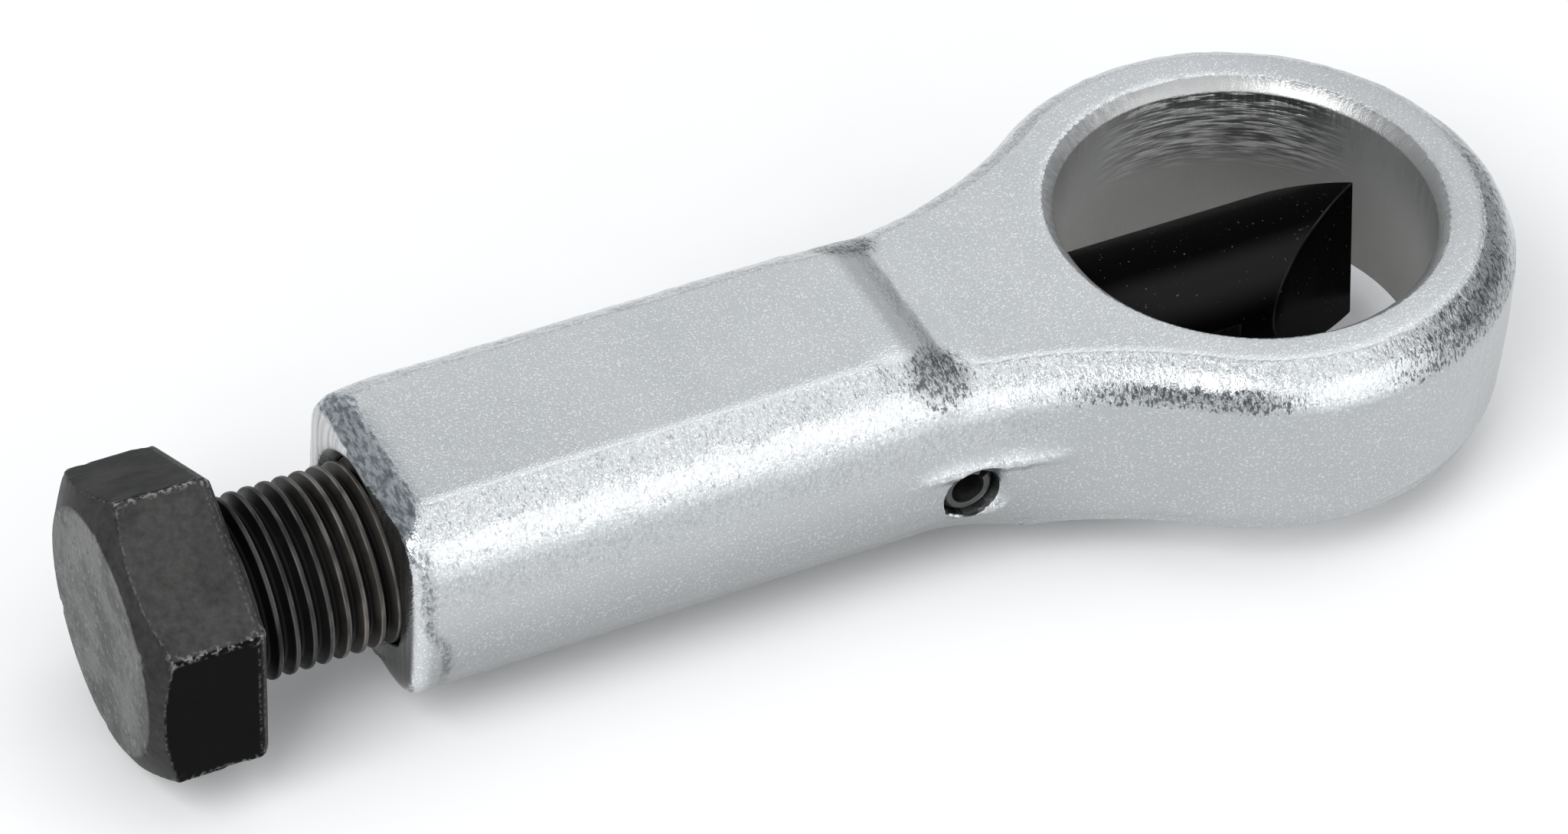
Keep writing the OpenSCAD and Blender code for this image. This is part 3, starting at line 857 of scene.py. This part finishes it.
# %% Screw head
HEAD_X, HEAD_H, HEX_AF, HEAD_FLAT_R, REAR_EDGE = -95.64, 10.0, 24.0, 10.55, 0.9
HEX_CORNER = HEX_AF / 2 / math.cos(math.radians(30))
CONE = math.tan(math.radians(30))
HEX_TURN = math.radians(92)
# scuffs and painted light: each facet gets its own share of the lighter scuffed colour, so facets facing the
# light look lighter and the low facet stays dark
SCUFFS_AND_FACET_LIGHT, CONE_SCUFFS_AND_LIGHT = (1.0, 0.0, 0.4, 0.3, 0.6, 0.2), 0.75
along_x = Matrix.Rotation(math.radians(90), 4, "Y")

bm = bmesh.new()
bmesh.ops.create_cone(bm, cap_ends=True, segments=6, radius1=HEX_CORNER * MM, radius2=HEX_CORNER * MM,
                      depth=HEAD_H * MM, matrix=along_x)
bmesh.ops.rotate(bm, verts=bm.verts, cent=(0, 0, 0), matrix=Matrix.Rotation(HEX_TURN, 3, "X"))
bmesh.ops.translate(bm, verts=bm.verts, vec=((HEAD_X - HEAD_H / 2) * MM, 0, 0))
rear_rim = [e for e in bm.edges if all(v.co.x > (HEAD_X - 0.01) * MM for v in e.verts)]
bmesh.ops.bevel(bm, geom=rear_rim, offset=REAR_EDGE * MM, offset_type="OFFSET", affect="EDGES", segments=3,
                profile=0.5, material=-1)
screw_head = put("screw_head", mesh_from(bm, "screw_head"))
blank_r = HEX_CORNER + 0.2
bm = turned_form([(0, -HEAD_H - OVER), (HEAD_FLAT_R - OVER / CONE, -HEAD_H - OVER),
                  (blank_r, -HEAD_H + (blank_r - HEAD_FLAT_R) * CONE), (blank_r, OVER), (0, OVER)],
                 steps=144)
bmesh.ops.transform(bm, verts=bm.verts, matrix=Matrix.Translation((HEAD_X * MM, 0, 0)) @ along_x)
cut_with(screw_head, bm, "INTERSECT")
even_faces(screw_head, depth=7)
print("screw head", len(screw_head.data.polygons), "faces")

# %% Screw head: dents and wear
NICK_DEPTH, NICK_SCALE, NICK_SHIFT = 0.5, 0.8, Vector((5, 2, 9))
HOLLOW_DEPTH, HOLLOW_SCALE = 0.02, 0.7
SIXTH = math.radians(60)
bm = bmesh.new()
bm.from_mesh(screw_head.data)
edge_near = crease_weights(bm, EDGE_ANGLE, rings=2, fade=0.6)
on_edges = [v for v in bm.verts if edge_near[v.index] > 0.5]
ease(bm, on_edges, passes=2)
bm.normal_update()
disc_at, corner_at, scuffs_and_light_at = [], [], []
for vert in bm.verts:
    place = vert.co / MM
    from_axis = math.hypot(place.y, place.z)
    turn = (math.atan2(place.z, place.y) - HEX_TURN) % SIXTH
    from_corner = min(turn, SIXTH - turn) * from_axis
    corner = smooth_step(0.9, 0.2, from_corner) * edge_near[vert.index]
    nick = max(0.0, noise.noise(place * NICK_SCALE + NICK_SHIFT) - 0.1) * corner
    inside = smooth_step(HEAD_FLAT_R + 0.2, HEAD_FLAT_R - 0.1, from_axis)
    on_disc = smooth_step(0.9, 0.99, -vert.normal.x) * inside
    hollow = HOLLOW_DEPTH * (noise.noise(place * HOLLOW_SCALE) - 1) * on_disc
    vert.co += vert.normal * (hollow - NICK_DEPTH * nick) * MM
    facing = math.atan2(vert.normal.z, vert.normal.y) - HEX_TURN - SIXTH / 2
    on_cone = smooth_step(0.25, 0.6, abs(vert.normal.x))
    # partly scuffs, partly painted light, chosen facet by facet
    scuffs_and_facet_light = SCUFFS_AND_FACET_LIGHT[round(facing / SIXTH) % 6]
    scuffs_and_light_at.append(scuffs_and_facet_light * (1 - on_cone) + CONE_SCUFFS_AND_LIGHT * on_cone)
    disc_at.append(on_disc)
    corner_at.append(corner)
screw_head.data = mesh_from(bm, "screw_head")
store(screw_head.data, "edge", edge_near)
store(screw_head.data, "corner", corner_at)
store(screw_head.data, "disc", disc_at)
store(screw_head.data, "scuffs_and_facet_light", scuffs_and_light_at)
shade_smooth(screw_head.data)
print("dented head,", len(on_edges), "vertices on edges")

# %% [markdown]
# ## The thread
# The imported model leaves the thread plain. A helix is a section that turns and moves along at the same time,
# which is what spin does when it is given a step along the axis. One tooth, drawn as one half and its mirror
# image, is spun through one turn, and an Array repeats that turn along the screw: each turn starts where the
# last one ends, so they merge into one skin. Two cuts give it its length, and its tip is turned to a chamfer.

# %% Thread
PITCH, CREST_R, SCREW_TIP, TIP_CHAMFER = 1.5, 7.9, -45.64, 1.0
THREAD_DEPTH = 0.613 * PITCH
ROOT_R = CREST_R - THREAD_DEPTH
STEPS = 96
START = HEAD_X - 2 * PITCH
TURNS = math.ceil((SCREW_TIP - START) / PITCH) + 1
half_tooth = [(0.0, ROOT_R), (0.06, ROOT_R), (0.10, ROOT_R + 0.03), (0.351, CREST_R - 0.15),
              (0.375, CREST_R - 0.08), (0.40, CREST_R - 0.02), (0.435, CREST_R)]
tooth = half_tooth + [(1 - along, radius) for along, radius in reversed(half_tooth)]
bm = bmesh.new()
corners = [bm.verts.new(((START + along * PITCH) * MM, 0, radius * MM)) for along, radius in tooth]
for first, second in zip(corners, corners[1:]):
    bm.edges.new((first, second))
bmesh.ops.spin(bm, geom=bm.verts[:] + bm.edges[:], cent=(0, 0, 0), axis=(1, 0, 0),
               dvec=(PITCH * MM / STEPS, 0, 0), angle=2 * math.pi, steps=STEPS, use_merge=False)
bmesh.ops.remove_doubles(bm, verts=bm.verts, dist=1e-6)
screw_thread = put("screw_thread", mesh_from(bm, "screw_thread"))
turns = screw_thread.modifiers.new("turns", "ARRAY")
turns.count = TURNS
turns.use_relative_offset = False
turns.use_constant_offset = True
turns.constant_offset_displace = (PITCH * MM, 0, 0)
turns.use_merge_vertices = True
turns.merge_threshold = 1e-6
apply_modifiers(screw_thread)
print("thread", TURNS, "turns,", len(screw_thread.data.polygons), "faces")

# %% Thread: ends
INTO_HEAD = 0.3
bm = bmesh.new()
bm.from_mesh(screw_thread.data)
bmesh.ops.remove_doubles(bm, verts=bm.verts, dist=1e-6)
for cut_x, facing in ((HEAD_X - INTO_HEAD, -1), (SCREW_TIP, 1)):
    bmesh.ops.bisect_plane(bm, geom=bm.verts[:] + bm.edges[:] + bm.faces[:], plane_co=(cut_x * MM, 0, 0),
                           plane_no=(facing, 0, 0), clear_outer=True)
    rim = [e for e in bm.edges if e.is_boundary and all(abs(v.co.x / MM - cut_x) < 0.01 for v in e.verts)]
    bmesh.ops.contextual_create(bm, geom=rim)
for vert in bm.verts:
    radius = math.hypot(vert.co.y, vert.co.z) / MM
    most = CREST_R - max(0.0, vert.co.x / MM - (SCREW_TIP - TIP_CHAMFER))
    if radius > most:
        vert.co.y *= most / radius
        vert.co.z *= most / radius
bmesh.ops.recalc_face_normals(bm, faces=bm.faces)
crest_at, flank_at = [], []
for vert in bm.verts:
    height = math.hypot(vert.co.y, vert.co.z) / MM - CREST_R
    crest_at.append(smooth_step(-0.13, -0.03, height) * (1 - 0.55 * smooth_step(-0.018, -0.004, height)))
    flank_at.append(smooth_step(-0.75, -0.15, height))
print("thread ends cut, open edges", open_edges(bm))
screw_thread.data = mesh_from(bm, "screw_thread")
store(screw_thread.data, "crest", crest_at)
store(screw_thread.data, "flank", flank_at)
shade_smooth(screw_thread.data)
screw_thread.data.set_sharp_from_angle(angle=math.radians(50))

# %% Black oxide
black_oxide, tree, shader = new_finish("black_oxide_steel", metallic=0.0)
shader.inputs["Specular IOR Level"].default_value = 0.03
here = places(tree)
bloom = speckle(tree, here, 230, detail=5, roughness=0.6)
scuffs = speckle(tree, here, 1500, detail=3, roughness=0.6)
scratches = speckle(tree, places(tree, (240, 1700, 1700), (0.2, 0.4, 0.3)), 1.0, detail=2)
nicks = speckle(tree, here, 2600, detail=2)
pitting = between(tree, speckle(tree, here, 2100, detail=3, roughness=0.7), 0.56, 0.70)
scuffs_and_facet_light = kept(tree, "scuffs_and_facet_light")
oxide = blend(tree, bloom, (0.0015, 0.0015, 0.0016), (0.0045, 0.0044, 0.0043))
dust_and_facet_light = blend(tree, scuffs, (0.022, 0.0217, 0.0212), (0.074, 0.073, 0.072))
# scuffs and painted light: the lighter colour is laid on each facet in its own share
oxide = blend(tree, times(tree, scuffs_and_facet_light, between(tree, bloom, 0.25, 0.6, 0.6, 1.0)), oxide, dust_and_facet_light)
line_wear = times(tree, between(tree, kept(tree, "edge"), 0.65, 1.0), between(tree, nicks, 0.42, 0.58))
spot_wear = times(tree, kept(tree, "corner"), between(tree, nicks, 0.48, 0.62))
oxide = blend(tree, times(tree, line_wear, 0.35), oxide, (0.16, 0.158, 0.155))
oxide = blend(tree, times(tree, spot_wear, 0.8), oxide, (0.24, 0.237, 0.233))
bare = blend(tree, between(tree, bloom, 0.35, 0.65), (0.07, 0.07, 0.069), (0.165, 0.165, 0.163))
bare = blend(tree, between(tree, scratches, 0.56, 0.66, 0.0, 0.5), bare, (0.24, 0.24, 0.237))
bare = blend(tree, times(tree, pitting, 0.8), bare, (0.035, 0.035, 0.035))
oxide = blend(tree, kept(tree, "disc"), oxide, bare)
tree.links.new(oxide, shader.inputs["Base Color"])
tree.links.new(between(tree, bloom, 0.3, 0.7, 0.34, 0.46), shader.inputs["Roughness"])
scuff_height = sums(tree, "MULTIPLY_ADD", scratches, 0.35, times(tree, scuffs, 0.5))
relief(tree, shader, scuff_height, distance=0.00003)
screw_head.data.materials.clear()
screw_head.data.materials.append(black_oxide)
print("black oxide", len(tree.nodes), "nodes")

# %% Thread finish
rubbed_thread, tree, shader = new_finish("rubbed_thread_steel", metallic=0.0)
shader.inputs["Specular IOR Level"].default_value = 0.08
here = places(tree)
patches = speckle(tree, here, 320, detail=4)
streaks = speckle(tree, places(tree, (1500, 260, 260)), 1.0, detail=2)
black = blend(tree, patches, (0.002, 0.002, 0.002), (0.006, 0.0058, 0.0056))
ends = wire(tree, "SeparateXYZ", "X", Vector=here)
used = between(tree, ends, -0.0895, -0.0850)
rub = times(tree, kept(tree, "crest"), between(tree, streaks, 0.36, 0.64, 0.25, 1.0))
browned = times(tree, kept(tree, "flank"), between(tree, patches, 0.3, 0.6, 0.4, 1.0))
browned = times(tree, browned, used)
black = blend(tree, browned, black, (0.034, 0.031, 0.028))
worn_steel = blend(tree, used, (0.13, 0.128, 0.125), (0.24, 0.225, 0.205))
tree.links.new(blend(tree, rub, black, worn_steel), shader.inputs["Base Color"])
tree.links.new(between(tree, patches, 0.3, 0.7, 0.34, 0.50), shader.inputs["Roughness"])
relief(tree, shader, streaks, distance=0.00002)
screw_thread.data.materials.append(rubbed_thread)
for piece in (screw_head, screw_thread):
    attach(piece, "screw")
    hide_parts("pressure_screw")
print("rubbed thread", len(tree.nodes), "nodes")
